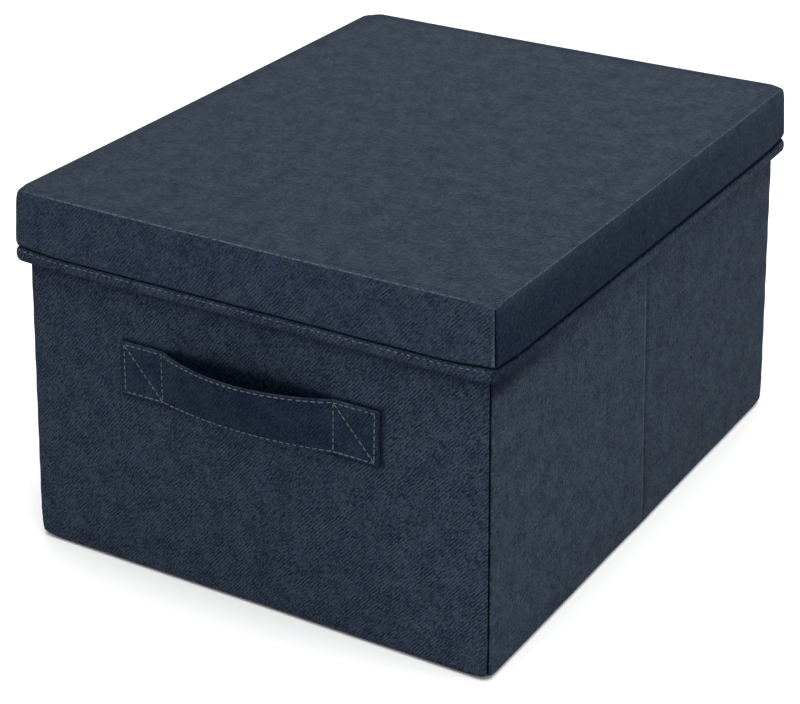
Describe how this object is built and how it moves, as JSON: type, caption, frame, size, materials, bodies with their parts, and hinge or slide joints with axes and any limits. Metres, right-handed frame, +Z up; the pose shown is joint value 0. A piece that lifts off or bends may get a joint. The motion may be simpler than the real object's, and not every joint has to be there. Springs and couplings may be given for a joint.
{
  "type": "fabric storage box",
  "caption": "Collapsible cloth-covered card storage box with a lift-off lid, a loose base board and a sewn front strap handle.",
  "frame": {"origin": "centre of the underside of the bottom tray, on the surface that the box stands on", "axes": "+Z up, -Y out of the front wall with the handle, +X to the right seen from the front"},
  "size_m": [0.304, 0.3915, 0.22],
  "materials": {
    "outer_cloth": "dark blue-grey twill weave, matt, slightly heathered",
    "strap_cloth": "the same twill, doubled and edge-stitched",
    "lining_cloth": "thin dark non-woven lining, matt",
    "thread": "blue-grey sewing thread",
    "card": "grey greyboard, matt"
  },
  "bodies": {
    "base": {"bottom_tray": "outer_cloth", "base_board": "card", "base_board_facing": "lining_cloth", "rear_cover": "outer_cloth", "rear_board": "card", "rear_lining": "lining_cloth", "corner_binding_rear_left": "outer_cloth", "corner_binding_rear_right": "outer_cloth"},
    "left_rear_wall": {"left_rear_cover": "outer_cloth", "left_rear_board": "card", "left_rear_lining": "lining_cloth"},
    "left_front_wall": {"left_front_cover": "outer_cloth", "left_front_board": "card", "left_front_lining": "lining_cloth"},
    "right_rear_wall": {"right_rear_cover": "outer_cloth", "right_rear_board": "card", "right_rear_lining": "lining_cloth"},
    "right_front_wall": {"right_front_cover": "outer_cloth", "right_front_board": "card", "right_front_lining": "lining_cloth"},
    "front_wall": {"front_cover": "outer_cloth", "front_board": "card", "front_lining": "lining_cloth", "corner_binding_front_left": "outer_cloth", "corner_binding_front_right": "outer_cloth", "handle_strap": "strap_cloth"},
    "lid": {"lid_top_cover": "outer_cloth", "lid_top_board": "card", "lid_top_lining": "lining_cloth", "lid_skirt_front_cover": "outer_cloth", "lid_skirt_front_board": "card", "lid_skirt_rear_cover": "outer_cloth", "lid_skirt_rear_board": "card", "lid_skirt_right_cover": "outer_cloth", "lid_skirt_right_board": "card", "lid_skirt_left_cover": "outer_cloth", "lid_skirt_left_board": "card", "lid_hem_front": "outer_cloth", "lid_hem_rear": "outer_cloth", "lid_hem_right": "outer_cloth", "lid_hem_left": "outer_cloth"}
  },
  "joints": [
    {"name": "lid_lift", "type": "slide", "parent": "base", "child": "lid", "axis": [0, 0, 1], "range_m": [0, 0.15]},
    {"name": "wall_fold", "type": "hinge", "parent": "base", "child": "left_rear_wall", "pos_m": [-0.1429, 0.1768, 0], "axis": [0, 0, 1], "range_deg": [0, 52]},
    {"name": "left_crease", "type": "hinge", "parent": "left_rear_wall", "child": "left_front_wall", "pos_m": [-0.14715, 0, 0], "axis": [0, 0, 1], "range_deg": [-104, 0]},
    {"name": "left_front_corner", "type": "hinge", "parent": "left_front_wall", "child": "front_wall", "pos_m": [-0.1429, -0.1768, 0], "axis": [0, 0, 1], "range_deg": [0, 52]},
    {"name": "right_rear_corner", "type": "hinge", "parent": "base", "child": "right_rear_wall", "pos_m": [0.1429, 0.1768, 0], "axis": [0, 0, 1], "range_deg": [-52, 0]},
    {"name": "right_crease", "type": "hinge", "parent": "right_rear_wall", "child": "right_front_wall", "pos_m": [0.14715, 0, 0], "axis": [0, 0, 1], "range_deg": [0, 104]}
  ],
  "couplings": [
    {"joint": "left_crease", "follows": "wall_fold", "ratio": -2},
    {"joint": "left_front_corner", "follows": "wall_fold", "ratio": 1},
    {"joint": "right_rear_corner", "follows": "wall_fold", "ratio": -1},
    {"joint": "right_crease", "follows": "wall_fold", "ratio": 2}
  ]
}
